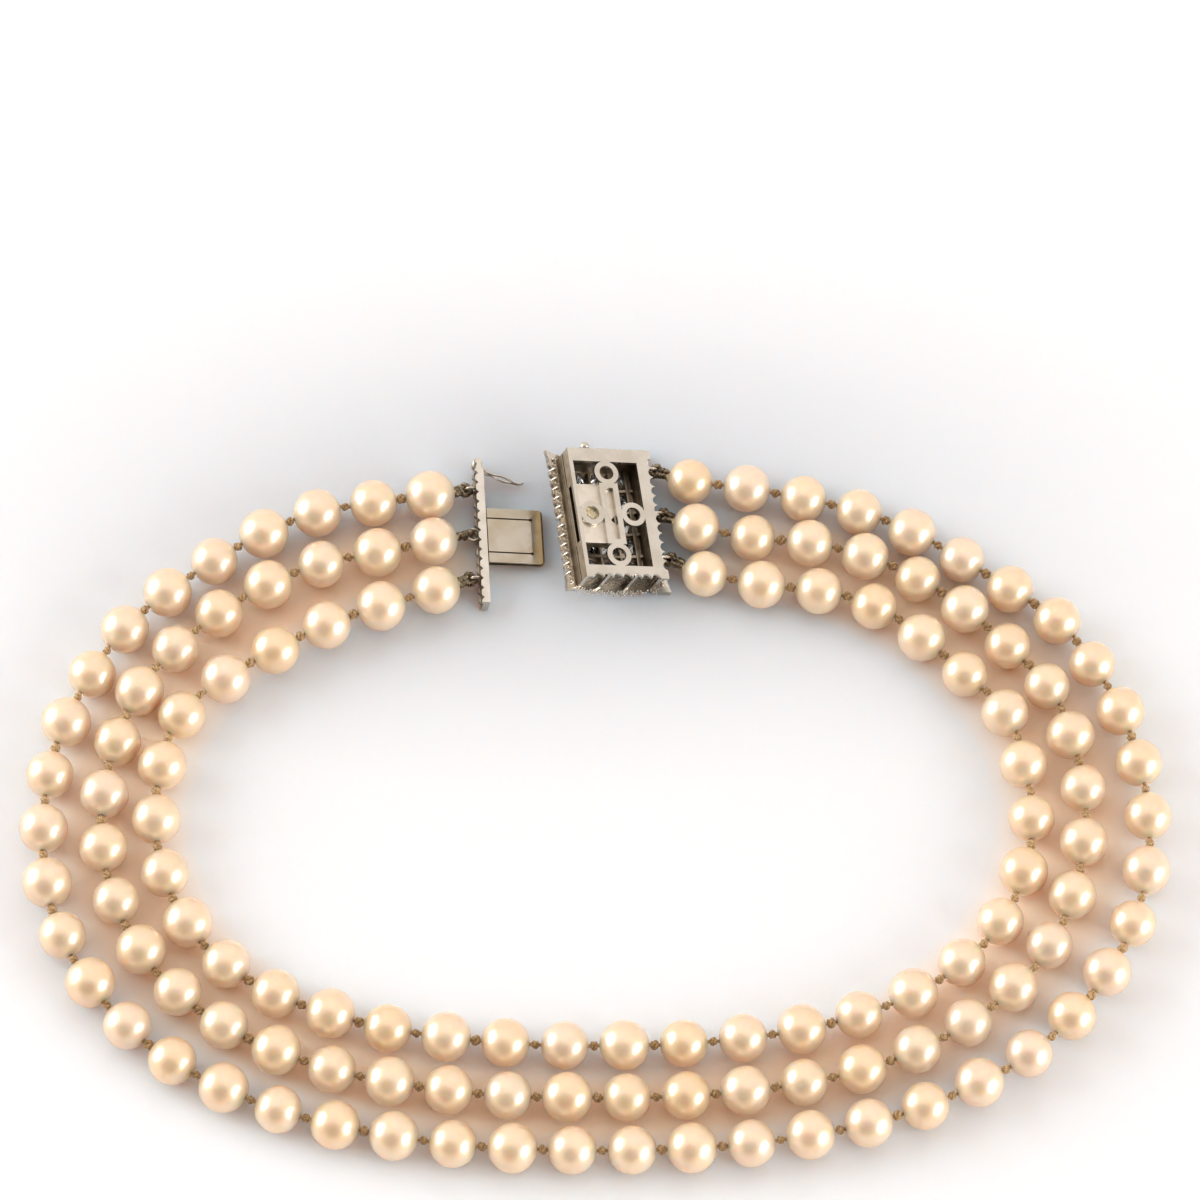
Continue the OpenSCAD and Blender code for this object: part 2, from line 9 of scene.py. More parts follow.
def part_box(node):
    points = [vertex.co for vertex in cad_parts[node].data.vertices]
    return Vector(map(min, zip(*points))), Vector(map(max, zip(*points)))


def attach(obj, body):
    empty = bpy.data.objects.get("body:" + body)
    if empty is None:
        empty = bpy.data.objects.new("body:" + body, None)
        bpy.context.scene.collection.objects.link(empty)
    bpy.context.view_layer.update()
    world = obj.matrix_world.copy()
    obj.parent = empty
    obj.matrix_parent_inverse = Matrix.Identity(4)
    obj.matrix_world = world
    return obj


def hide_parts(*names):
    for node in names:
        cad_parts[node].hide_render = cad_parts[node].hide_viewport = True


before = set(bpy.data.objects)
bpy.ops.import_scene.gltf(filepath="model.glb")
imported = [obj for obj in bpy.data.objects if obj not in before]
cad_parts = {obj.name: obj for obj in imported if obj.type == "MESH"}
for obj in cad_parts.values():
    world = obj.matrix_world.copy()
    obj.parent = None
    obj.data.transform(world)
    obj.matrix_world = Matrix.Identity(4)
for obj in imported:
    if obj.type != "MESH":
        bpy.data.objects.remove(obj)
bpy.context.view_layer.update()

mm = 0.001
slack = 1e-3                   # corners this near, in a model's own units, count as level
print("frame loaded:", len(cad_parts), "nodes")


# Small helpers
def selectOnly(*objs):
    if bpy.context.object and bpy.context.object.mode != "OBJECT":
        bpy.ops.object.mode_set(mode="OBJECT")
    bpy.ops.object.select_all(action="DESELECT")
    for o in objs:
        o.select_set(True)
    if objs:
        bpy.context.view_layer.objects.active = objs[0]


def started(name, addPrimitive, **settings):   # a primitive to be shaped, selected alone
    selectOnly()
    addPrimitive(**settings)
    bpy.context.object.name = name
    return bpy.context.object


def startEdit(obj):
    selectOnly(obj)
    bpy.ops.object.mode_set(mode="EDIT")
    bpy.ops.mesh.select_mode(type="VERT")
    bpy.ops.mesh.select_all(action="DESELECT")


def endEdit():
    bpy.ops.object.mode_set(mode="OBJECT")


def pick(obj, kind, test):     # selects the faces or edges of the edited mesh that pass the test
    bpy.ops.mesh.select_all(action="DESELECT")
    bpy.ops.mesh.select_mode(type="FACE" if kind == "faces" else "EDGE")
    mesh = bmesh.from_edit_mesh(obj.data)
    for part in getattr(mesh, kind):
        part.select_set(test(part))
    bmesh.update_edit_mesh(obj.data)


def turnOutwards():            # all faces of the edited mesh
    bpy.ops.mesh.select_all(action="SELECT")
    bpy.ops.mesh.normals_make_consistent(inside=False)


def bevelAll(obj, offset, segments):
    startEdit(obj)
    bpy.ops.mesh.select_all(action="SELECT")
    bpy.ops.mesh.bevel(offset=offset, segments=segments)
    endEdit()


def applyModifiers(obj):
    selectOnly(obj)
    for name in [m.name for m in obj.modifiers]:
        bpy.ops.object.modifier_apply(modifier=name)


def smoothBy(obj, degrees):
    selectOnly(obj)
    bpy.ops.object.shade_smooth_by_angle(angle=math.radians(degrees))


def lumpy(obj, size, strength):        # a soft unevenness all over, applied
    clouds = bpy.data.textures.new("lumps", "CLOUDS")
    clouds.noise_scale = size
    lumps = obj.modifiers.new("lumps", "DISPLACE")
    lumps.texture = clouds
    lumps.strength = strength
    applyModifiers(obj)


def copyOf(template, matrix):  # a copy with its own mesh, already in place
    copy = bpy.data.objects.new(template.name, template.data.copy())
    bpy.context.scene.collection.objects.link(copy)
    copy.data.transform(matrix)
    return copy


def joined(objs, name):
    selectOnly(*objs)
    if len(objs) > 1:
        bpy.ops.object.join()
    objs[0].name = name
    objs[0].data.name = name
    return objs[0]


def discard(*objs):
    for o in objs:
        bpy.data.objects.remove(o)


def turnTo(direction, spin=0.0):       # takes +Z to a direction, after a turn about +Z
    return direction.to_track_quat("Z", "Y").to_matrix().to_4x4() @ Matrix.Rotation(spin, 4, "Z")


def wire(name, points, radius, sides, closed=False):
    curve = bpy.data.curves.new(name, "CURVE")
    curve.dimensions = "3D"
    curve.bevel_depth = radius
    curve.bevel_resolution = sides
    curve.use_fill_caps = True
    spline = curve.splines.new("POLY")
    spline.points.add(len(points) - 1)
    for i, p in enumerate(points):
        spline.points[i].co = (*p, 1)
    spline.use_cyclic_u = closed
    obj = bpy.data.objects.new(name, curve)
    bpy.context.scene.collection.objects.link(obj)
    selectOnly(obj)
    bpy.ops.object.convert(target="MESH")
    startEdit(obj)
    turnOutwards()
    endEdit()
    for face in obj.data.polygons:
        face.use_smooth = True
    return obj


def rounded(points, steps):    # a smooth curve through the points
    out = []
    for i in range(len(points) - 1):
        a, b, c, d = (points[min(len(points) - 1, max(0, i + k))] for k in (-1, 0, 1, 2))
        for j in range(steps):
            t = j / steps
            out.append((b * 2 + (c - a) * t + (a * 2 - b * 5 + c * 4 - d) * t * t
                        + (b * 3 - a - c * 3 + d) * t ** 3) / 2)
    return out + [points[-1]]


def settle(obj, material, body, slot, *nodes):   # finish, body and CAD nodes of a piece
    obj.data.materials.clear()
    for m in material if isinstance(material, (list, tuple)) else [material]:
        obj.data.materials.append(m)
    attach(obj, body)
    if nodes:
        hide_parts(*nodes)
    print("piece", obj.name, len(obj.data.polygons), "faces")


# Both halves of the clasp lie as in the CAD: place in mm, roll and yaw in degrees
claspPose = {
    "case": {"place": (3.46, 46.59, 7.15), "roll": 22, "yaw": 8.2},
    "bar": {"place": (-17.44, 44.59, 3.4), "roll": 10.5, "yaw": 3.3},
}
catchPin = Vector((0, 12.8, -1.4))     # middle of the catch's pin, in the bar's own mm


def seatOf(half):              # takes a half of the clasp from its own millimetres to its place
    pose = claspPose[half]
    return (Matrix.Translation(Vector(pose["place"]) * mm)
            @ Matrix.Rotation(math.radians(pose["yaw"]), 4, "Z")
            @ Matrix.Rotation(math.radians(pose["roll"]), 4, "Y") @ Matrix.Scale(mm, 4))


caseSeat = seatOf("case")
barSeat = seatOf("bar")
toCase = caseSeat.inverted()
toBar = barSeat.inverted()


# Materials
def linear(code):              # sRGB hex to linear
    out = []
    for i in (0, 2, 4):
        c = int(code[i:i + 2], 16) / 255
        out.append(c / 12.92 if c <= 0.04045 else ((c + 0.055) / 1.055) ** 2.4)
    return (*out, 1)


def grey(v):
    return (v, v, v, 1)


def newMaterial(name):
    material = bpy.data.materials.new(name)
    material.use_nodes = True
    material.node_tree.nodes.clear()
    return material, material.node_tree


colourA, colourB, colourOut = 6, 7, 2          # the sockets of a mix node that take and give colours


# inputs gives sockets, by name or number, a link or a value
# settings gives a value to properties, or to sockets whose name has _ for each blank
def addNode(tree, kind, inputs=None, **settings):
    node = tree.nodes.new(kind)
    for key, value in settings.items():
        if key == "stops":         # places and colours of a ramp
            marks = node.color_ramp.elements
            while len(marks) < len(value):
                marks.new(0.5)
            for mark, (place, colour) in zip(marks, value):
                mark.position = place
                mark.color = colour
        elif hasattr(node, key):
            setattr(node, key, value)
        else:
            node.inputs[key.replace("_", " ")].default_value = value
    for key, source in (inputs or {}).items():
        if isinstance(source, bpy.types.NodeSocket):
            tree.links.new(source, node.inputs[key])
        else:
            node.inputs[key].default_value = source
    return node


# Cultured pearl nacre, grown in layers and drilled: a warm body glow under a sharp lustre
nacreLook = {
    "rose": "decbbc", "pale": "decbb4", "warm": "ddc19d",
    "mottle": 2.6,             # size of the soft mottling, mm
    "skin": 0.35,              # size of the faint unevenness of the skin, mm
    "skinDepth": 0.02,         # mm
    "creep": (8.0, 3.4, 1.4),  # how far red, green and blue light creep in it, mm
    "lustre": "ffd0a0", "bloom": "ffcd98",
}


def nacreMaterial():
    look = nacreLook
    material, tree = newMaterial("pearl nacre, grown in layers")
    place = addNode(tree, "ShaderNodeTexCoord").outputs["Object"]
    tone = addNode(tree, "ShaderNodeAttribute", attribute_name="pearlTone").outputs["Fac"]
    mottle = addNode(tree, "ShaderNodeTexNoise", {"Vector": place},
                     Scale=1 / (look["mottle"] * mm), Detail=2.0)
    body = addNode(tree, "ShaderNodeValToRGB", {"Fac": tone}, stops=[
        (0.0, linear(look["rose"])), (0.4, linear(look["pale"])), (1.0, linear(look["warm"]))])
    cloud = addNode(tree, "ShaderNodeValToRGB", {"Fac": mottle.outputs["Fac"]}, stops=[
        (0.35, grey(0.95)), (0.65, grey(1.0))])
    colour = addNode(tree, "ShaderNodeMix",
                     {"Factor": 1.0, colourA: body.outputs["Color"], colourB: cloud.outputs["Color"]},
                     data_type="RGBA", blend_type="MULTIPLY")
    skin = addNode(tree, "ShaderNodeTexNoise", {"Vector": place}, Scale=1 / (look["skin"] * mm), Detail=3.0)
    bump = addNode(tree, "ShaderNodeBump", {"Height": skin.outputs["Fac"]},
                   Strength=0.04, Distance=look["skinDepth"] * mm)
    shader = addNode(
        tree, "ShaderNodeBsdfPrincipled",
        {"Base Color": colour.outputs[colourOut], "Normal": bump.outputs["Normal"]},
        Roughness=0.34, IOR=1.68, Metallic=0.3, Specular_Tint=linear(look["lustre"]),
        Subsurface_Weight=1.0, Subsurface_Radius=[r * mm for r in look["creep"]], Subsurface_Scale=1.0,
        Sheen_Weight=0.5, Sheen_Roughness=0.35, Sheen_Tint=linear(look["bloom"]),
        Coat_Weight=1.0, Coat_Roughness=0.15, Coat_IOR=1.75)
    addNode(tree, "ShaderNodeOutputMaterial", {"Surface": shader.outputs["BSDF"]})
    return material


# Silk cord, twisted and knotted by hand: dull fibres, painted darker between the plies as their shade
silkLook = {"pale": "c9a878", "dark": "7d5a34", "ply": 0.28, "plyDepth": 0.06}


def silkMaterial():
    look = silkLook
    material, tree = newMaterial("silk cord, twisted and knotted")
    place = addNode(tree, "ShaderNodeTexCoord").outputs["Object"]
    fibre = addNode(tree, "ShaderNodeTexNoise", {"Vector": place}, Scale=1 / (look["ply"] * mm), Detail=4.0)
    # painted shade: darker where the fibre bump sinks
    colour = addNode(tree, "ShaderNodeValToRGB", {"Fac": fibre.outputs["Fac"]}, stops=[
        (0.3, linear(look["dark"])), (0.62, linear(look["pale"]))])
    bump = addNode(tree, "ShaderNodeBump", {"Height": fibre.outputs["Fac"]},
                   Strength=0.8, Distance=look["plyDepth"] * mm)
    shader = addNode(
        tree, "ShaderNodeBsdfPrincipled",
        {"Base Color": colour.outputs["Color"], "Normal": bump.outputs["Normal"]},
        Roughness=0.75, Sheen_Weight=0.3)
    addNode(tree, "ShaderNodeOutputMaterial", {"Surface": shader.outputs["BSDF"]})
    return material


# Each metal: two colours, the size of their clouds in mm, roughness, what the clouds add to it, scratches
# White gold, soldered and polished by hand: pale, smooth and satin, with a soft cloud of handling
goldLook = {"bright": "cfc9c0", "dull": "c4bdb2", "cloud": 3.0, "rough": 0.24, "haze": 0.06, "bump": 0.02}
# The same metal in the hollows: a brownish, dull patina, darkened further as painted shade
dullShadeLook = {"bright": "aca08f", "dull": "8f8372", "cloud": 1.8, "rough": 0.4, "haze": 0.12, "bump": 0.08}
# Spring gold, rolled thin and folded: yellower, with painted shade making it darker towards the curved end
# that slides in the case
springLook = {
    "bright": "b8b0a3", "dull": "aea28e", "cloud": 3.5, "rough": 0.3, "haze": 0.08, "bump": 0.03,
    # from and to are mm along the tongue, where the painted shade starts and where it is full; clouds of the
    # given size move them by up to ragged
    "noseShade": {"colour": "8f7b5a", "from": 8.3, "to": 9.9, "wobble": 1.5, "ragged": 2.0},
}
# The slit that the tongue enters by: painted shade, nearly black
slitShadeLook = {"bright": "2c2620", "dull": "181410", "cloud": 0.8, "rough": 0.6, "haze": 0.1, "bump": 0.1}
# The end walls behind the posts, coarsely filed and painted dark as the shade behind the posts
recessShadeLook = {"bright": "8b8173", "dull": "423c34", "cloud": 0.32, "rough": 0.45, "haze": 0.15, "bump": 0.25}
# Solder, flowed and left rough
solderLook = {"bright": "cdc3a8", "dull": "a19273", "cloud": 0.22, "rough": 0.3, "haze": 0.2, "bump": 0.6}
# Sheet of the pocket inside the case: rolled, brushed and never worn
pocketLook = {"bright": "dad2c7", "dull": "d0c6b8", "cloud": 1.5, "rough": 0.36, "haze": 0.06, "bump": 0.05}
# Fine gold wire, drawn and wound to a coil, aged dark between the turns
coilLook = {"bright": "a2957f", "dull": "4a4034", "cloud": 0.5, "rough": 0.24, "haze": 0.1, "bump": 0.1}
metalScratch = {"size": 0.3, "depth": 0.02}      # mm, coarser than real so that it shows


def noseShaded(tree, place, tint, noseShade):       # the tint, darkened towards the tongue's curved nose by painted shade
    way = (barSeat.to_3x3() @ Vector((1, 0, 0))).normalized()
    start = barSeat.translation.dot(way)
    along = addNode(tree, "ShaderNodeVectorMath", {0: place, 1: way}, operation="DOT_PRODUCT")
    wobble = addNode(tree, "ShaderNodeTexNoise", {"Vector": place}, Scale=1 / (noseShade["wobble"] * mm), Detail=3.0)
    spread = addNode(tree, "ShaderNodeMath",
                     {0: wobble.outputs["Fac"], 1: noseShade["ragged"] * mm, 2: along.outputs["Value"]},
                     operation="MULTIPLY_ADD")
    reach = addNode(tree, "ShaderNodeMapRange", {
        "Value": spread.outputs["Value"], "From Min": start + noseShade["from"] * mm,
        "From Max": start + noseShade["to"] * mm})
    mix = addNode(tree, "ShaderNodeMix",
                  {"Factor": reach.outputs["Result"], colourA: tint, colourB: linear(noseShade["colour"])},
                  data_type="RGBA")
    return mix.outputs[colourOut]


def metalMaterial(name, look):
    material, tree = newMaterial(name)
    place = addNode(tree, "ShaderNodeTexCoord").outputs["Object"]
    cloud = addNode(tree, "ShaderNodeTexNoise", {"Vector": place}, Scale=1 / (look["cloud"] * mm), Detail=3.0)
    tint = addNode(tree, "ShaderNodeValToRGB", {"Fac": cloud.outputs["Fac"]}, stops=[
        (0.35, linear(look["dull"])), (0.6, linear(look["bright"]))]).outputs["Color"]
    gloss = addNode(tree, "ShaderNodeValToRGB", {"Fac": cloud.outputs["Fac"]}, stops=[
        (0.3, grey(look["rough"] + look["haze"])), (0.7, grey(look["rough"]))])
    scratch = addNode(tree, "ShaderNodeTexNoise", {"Vector": place},
                      Scale=1 / (metalScratch["size"] * mm), Detail=2.0)
    bump = addNode(tree, "ShaderNodeBump", {"Height": scratch.outputs["Fac"]},
                   Strength=look["bump"], Distance=metalScratch["depth"] * mm)
    # painted shade on the curved nose of the spring
    if "noseShade" in look:
        tint = noseShaded(tree, place, tint, look["noseShade"])
    shader = addNode(
        tree, "ShaderNodeBsdfPrincipled",
        {"Base Color": tint, "Roughness": gloss.outputs["Color"], "Normal": bump.outputs["Normal"]},
        Metallic=1.0)
    addNode(tree, "ShaderNodeOutputMaterial", {"Surface": shader.outputs["BSDF"]})
    return material


# Cut diamond: clear, high index, sharp flashes; its grey tint is painted shade that darkens the stones
stoneLook = {"tint": "b2b4b6", "haze": 1.5, "hazeRough": 0.08}


def stoneMaterial():
    look = stoneLook
    material, tree = newMaterial("diamond, cut and polished")
    place = addNode(tree, "ShaderNodeTexCoord").outputs["Object"]
    haze = addNode(tree, "ShaderNodeTexNoise", {"Vector": place}, Scale=1 / (look["haze"] * mm), Detail=2.0)
    gloss = addNode(tree, "ShaderNodeValToRGB", {"Fac": haze.outputs["Fac"]}, stops=[
        (0.4, grey(0.0)), (0.8, grey(look["hazeRough"]))])
    shader = addNode(tree, "ShaderNodeBsdfPrincipled", {"Roughness": gloss.outputs["Color"]},
                     IOR=2.42, Base_Color=linear(look["tint"]), Transmission_Weight=1.0)
    addNode(tree, "ShaderNodeOutputMaterial", {"Surface": shader.outputs["BSDF"]})
    return material


nacre = nacreMaterial()
silk = silkMaterial()
whiteGold = metalMaterial("white gold, soldered and polished", goldLook)
dullShadeGold = metalMaterial("white gold, cast, dull, with painted shade in the hollows", dullShadeLook)
springGold = metalMaterial("spring gold, rolled and folded", springLook)
slitShadeGold = metalMaterial("white gold, painted black as shade in the slit", slitShadeLook)
recessShadeGold = metalMaterial("white gold, filed, with painted shade behind the posts", recessShadeLook)
solder = metalMaterial("gold solder, flowed", solderLook)
pocketGold = metalMaterial("gold sheet, rolled and brushed", pocketLook)
agedCoil = metalMaterial("gold wire, drawn, coiled and aged", coilLook)
diamond = stoneMaterial()
print("materials made")


# Where the CAD puts the pearls and the end loops
sameSpot = 1e-7                # m, corners of a node's faces this near are one


def islands(nodeName):         # centre and half height of each loose solid of a node
    mesh = bmesh.new()
    mesh.from_mesh(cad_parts[nodeName].data)
    bmesh.ops.remove_doubles(mesh, verts=mesh.verts, dist=sameSpot)
    found, seen = [], set()
    for start in mesh.verts:
        if start.index in seen:
            continue
        seen.add(start.index)
        group, queue = [], [start]
        while queue:
            v = queue.pop()
            group.append(v.co.copy())
            for e in v.link_edges:
                w = e.other_vert(v)
                if w.index not in seen:
                    seen.add(w.index)
                    queue.append(w)
        low = Vector(min(p[k] for p in group) for k in range(3))
        high = Vector(max(p[k] for p in group) for k in range(3))
        found.append(((low + high) / 2, (high.z - low.z) / 2))
    mesh.free()
    return found


def inOrder(seats, start):     # from the seat nearest to start, always on to the nearest one left
    left, chain, at = list(seats), [], start
    while left:
        best = min(left, key=lambda s: (s[0] - at).length)
        left.remove(best)
        chain.append(best)
        at = best[0]
    return chain


def headings(seats):           # level directions of the strand at its pearls
    out = []
    for i in range(len(seats)):
        v = seats[min(i + 1, len(seats) - 1)][0] - seats[max(i - 1, 0)][0]
        out.append(Vector((v.x, v.y, 0)).normalized())
    return out


def middleOf(nodeName):
    low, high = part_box(nodeName)
    return (low + high) / 2


strandNames = ("outer", "middle", "inner")
strands = {}
for name in strandNames:
    seats = inOrder(islands("pearls_" + name), middleOf("end_loop_tongue_" + name))
    strands[name] = {"seats": seats, "headings": headings(seats)}
    print("strand", name, len(seats), "pearls")

# Camera: from the photo's height over the table, with a long lens
cameraLook = {"target": (0.66, 33.39, 3.7), "elevation": 66, "distance": 1000, "lens": 195}
target = Vector(cameraLook["target"]) * mm
tilt = math.radians(cameraLook["elevation"])
back = Vector((0, -math.cos(tilt), math.sin(tilt)))
camera = bpy.data.objects.new("camera", bpy.data.cameras.new("camera"))
bpy.context.scene.collection.objects.link(camera)
camera.location = target + back * cameraLook["distance"] * mm
camera.rotation_euler = (-back).to_track_quat("-Z", "Y").to_euler()
camera.data.lens = cameraLook["lens"]
camera.data.sensor_width = 36
camera.data.clip_start = 0.01
camera.data.clip_end = 50
bpy.context.scene.camera = camera

# Two round softboxes, which give each pearl its pair of highlights
softboxes = [
    {"way": (-0.90, 0.255, 0.344), "away": 1800, "wide": 1650},
    {"way": (0.873, -0.41, 0.264), "away": 1800, "wide": 1580},
]
softboxGlow = 5.3              # brightness of a softbox's face
softboxColour = (0.95, 0.98, 1.0)
for i, box in enumerate(softboxes):
    lamp = bpy.data.lights.new(f"softbox_{i}", "AREA")
    lamp.shape = "DISK"
    lamp.size = box["wide"] * mm
    lamp.color = softboxColour
    area = math.pi / 4 * lamp.size ** 2
    lamp.energy = softboxGlow * math.pi * area         # an even face sends out pi times its brightness
    lampPlace = bpy.data.objects.new(lamp.name, lamp)
    bpy.context.scene.collection.objects.link(lampPlace)
    way = Vector(box["way"]).normalized()
    lampPlace.location = target + way * box["away"] * mm
    lampPlace.rotation_euler = (-way).to_track_quat("-Z", "Y").to_euler()
    lampPlace.visible_camera = False

# The room: pale overhead, warm near the table, with the dark camera and its holder in front
roomLook = {
    "strength": 1.41,
    "bright": {"way": (0, 0.3, 0.95), "stops": [(0.0, "ffe8ca"), (0.5, "d3ccc4"), (0.97, "fdf6f0")]},
    "dark": {"way": (-0.16, -0.7, 0.7), "stops": [(0.0, "ffffff"), (0.67, "ffffff"), (0.925, "2e1a12")]},
}
world = bpy.data.worlds.new("studio")
bpy.context.scene.world = world
world.use_nodes = True
tree = world.node_tree
tree.nodes.clear()
ray = addNode(tree, "ShaderNodeTexCoord").outputs["Generated"]
zones = []
for zone in (roomLook["bright"], roomLook["dark"]):
    near = addNode(tree, "ShaderNodeVectorMath", {0: ray, 1: Vector(zone["way"]).normalized()},
                   operation="DOT_PRODUCT")
    zones.append(addNode(tree, "ShaderNodeValToRGB", {"Fac": near.outputs["Value"]},
                         stops=[(at, linear(colour)) for at, colour in zone["stops"]]))
both = addNode(tree, "ShaderNodeVectorMath", {0: zones[0].outputs["Color"], 1: zones[1].outputs["Color"]},
               operation="MULTIPLY")
sky = addNode(tree, "ShaderNodeBackground", {"Color": both.outputs["Vector"]}, Strength=roomLook["strength"])
addNode(tree, "ShaderNodeOutputWorld", {"Surface": sky.outputs["Background"]})

# Paper, smooth and matt: light creeps in it, so its shadows are soft and warm; painted shade darkens it round
# the clasp, and a painted warm glow lies between the rows
paperLook = {
    "wide": 8,                 # m
    "oval": {"middle": (0, 49), "half": (150, 70)},    # the part round the clasp darkened by painted shade, mm
    "shades": [(0.1, "c0c4cb"), (0.3, "cacdd3"), (0.47, "d5d7dc"), (0.67, "dddfe3"), (1.0, "e2e3e7")],
    "cast": "ffe4cb",          # painted warm glow, for the light that the rows throw on the paper between them
    "castBand": [(0.39, 0), (0.44, 1), (0.5, 1), (0.55, 0)],   # half the way out, 0.5 on the middle row
    "castClear": [(0.13, 0), (0.22, 1)],       # none of it by the clasp
    "creep": (7, 3, 1.6),      # mm
}
floor = started("floor", bpy.ops.mesh.primitive_plane_add, size=paperLook["wide"])
material, tree = newMaterial("paper, smooth and matt")
place = addNode(tree, "ShaderNodeTexCoord").outputs["Object"]
oval = addNode(tree, "ShaderNodeMapping", {
    "Vector": place, "Location": (*(v * mm for v in paperLook["oval"]["middle"]), 0),
    "Scale": (*(v * mm for v in paperLook["oval"]["half"]), 1)}, vector_type="TEXTURE")
reach = addNode(tree, "ShaderNodeVectorMath", {0: oval.outputs["Vector"]}, operation="LENGTH")
# painted shade: the paper is darker towards the clasp
shade = addNode(tree, "ShaderNodeValToRGB", {"Fac": reach.outputs["Value"]},
                stops=[(at, linear(colour)) for at, colour in paperLook["shades"]])
rowLow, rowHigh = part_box("pearls_middle")
ring = addNode(tree, "ShaderNodeMapping", {
    "Vector": place, "Location": (*((rowLow + rowHigh) / 2).xy, 0),
    "Scale": (*((rowHigh - rowLow) / 2).xy, 1)}, vector_type="TEXTURE")
away = addNode(tree, "ShaderNodeVectorMath", {0: ring.outputs["Vector"]}, operation="LENGTH")
halfWay = addNode(tree, "ShaderNodeMath", {0: away.outputs["Value"], 1: 0.5}, operation="MULTIPLY")
rows = addNode(tree, "ShaderNodeValToRGB", {"Fac": halfWay.outputs["Value"]},
               stops=[(at, grey(v)) for at, v in paperLook["castBand"]])
clear = addNode(tree, "ShaderNodeValToRGB", {"Fac": reach.outputs["Value"]},
                stops=[(at, grey(v)) for at, v in paperLook["castClear"]])
cast = addNode(tree, "ShaderNodeMath", {0: rows.outputs["Color"], 1: clear.outputs["Color"]},
               operation="MULTIPLY")
# painted warm glow mixed in between the rows
warmed = addNode(tree, "ShaderNodeMix", {
    "Factor": cast.outputs["Value"], colourA: shade.outputs["Color"],
    colourB: linear(paperLook["cast"])}, data_type="RGBA")
shader = addNode(
    tree, "ShaderNodeBsdfPrincipled", {"Base Color": warmed.outputs[colourOut]}, Roughness=0.85,
    subsurface_method="BURLEY", Subsurface_Weight=1.0, Subsurface_Scale=1.0,
    Subsurface_Radius=[r * mm for r in paperLook["creep"]])
addNode(tree, "ShaderNodeOutputMaterial", {"Surface": shader.outputs["BSDF"]})
floor.data.materials.append(material)

bpy.context.scene.view_settings.view_transform = "Standard"
print("camera, light and floor set")


# Pearls, modelled with radius 1
pearlShape = {
    "segments": 40, "rings": 24,
    "rim": 0.035,              # rounding of the bore's edge
    "kinds": 4, "lump": 0.9, "lumpStep": 0.3, "swell": 0.02,   # soft lumps, another size for each kind
    "outOfRound": 0.012,
    "tone": 0.45, "toneSpread": 0.13,                          # from the rose tint at 0 to the warm one at 1
}


def makePearl(kind):           # bore along Z
    pearl = started("pearl", bpy.ops.mesh.primitive_uv_sphere_add,
                    segments=pearlShape["segments"], ring_count=pearlShape["rings"], radius=1)
    firstRing = math.pi / pearlShape["rings"]          # angle from the pole to the first ring
    bore = math.sin(firstRing)
    startEdit(pearl)
    pick(pearl, "faces", lambda f: abs(f.calc_center_median().z) > math.cos(firstRing))
    bpy.ops.mesh.delete(type="FACE")
    pick(pearl, "edges", lambda e: e.is_boundary)
    bpy.ops.mesh.bridge_edge_loops()
    pick(pearl, "edges", lambda e: all(abs(Vector(v.co.xy).length - bore) < slack for v in e.verts)
         and abs(e.verts[0].co.z - e.verts[1].co.z) < slack)
    bpy.ops.mesh.bevel(offset=pearlShape["rim"], segments=2)
    turnOutwards()
    endEdit()
    lumpy(pearl, pearlShape["lump"] + pearlShape["lumpStep"] * kind, pearlShape["swell"])
    smoothBy(pearl, 50)
    return pearl


pearlKinds = [makePearl(k) for k in range(pearlShape["kinds"])]
draw = random.Random(7)
for name in strandNames:
    copies = []
    for (centre, radius), heading in zip(strands[name]["seats"], strands[name]["headings"]):
        stretch = [radius * (1 + draw.uniform(-1, 1) * pearlShape["outOfRound"]) for axis in range(3)]
        matrix = (Matrix.Translation(centre) @ turnTo(heading, draw.uniform(0, math.tau))
                  @ Matrix.Diagonal((*stretch, 1)))
        pearl = copyOf(draw.choice(pearlKinds), matrix)
        tone = min(1, max(0, draw.gauss(pearlShape["tone"], pearlShape["toneSpread"])))
        tones = pearl.data.attributes.new("pearlTone", "FLOAT", "POINT")
        tones.data.foreach_set("value", [tone] * len(pearl.data.vertices))
        copies.append(pearl)
    settle(joined(copies, "nacre_pearls_" + name), nacre, "necklace", "pearl", "pearls_" + name)
discard(*pearlKinds)


# Silk thread, in mm, and knots
threadShape = {"thick": 0.56, "beyond": 0.3}           # beyond: past the end pearls, to the end loops
knotShape = {
    "thick": 1.7, "long": 1.5, "least": 0.85, "most": 1.1,     # mm, and the range of its scale
    "points": 40, "loop": 0.2, "swing": 0.1, "lift": 0.23, "strand": 0.18,     # as shares of its size
}


def makeKnot():                # an overhand knot, one unit thick and one long along Z
    points = []
    for i in range(knotShape["points"]):
        t = math.tau * i / knotShape["points"]
        r = knotShape["loop"] + knotShape["swing"] * math.cos(3 * t)
        up = -knotShape["lift"] * math.sin(3 * t)
        points.append(Vector((r * math.cos(2 * t), r * math.sin(2 * t), up)))
    return wire("knot", points, knotShape["strand"], sides=1, closed=True)


def threadEnd(seat, loop):     # the point past an end pearl, on the way to its end loop
    centre, radius = seat
    return centre + (loop - centre).normalized() * (radius + threadShape["beyond"] * mm)


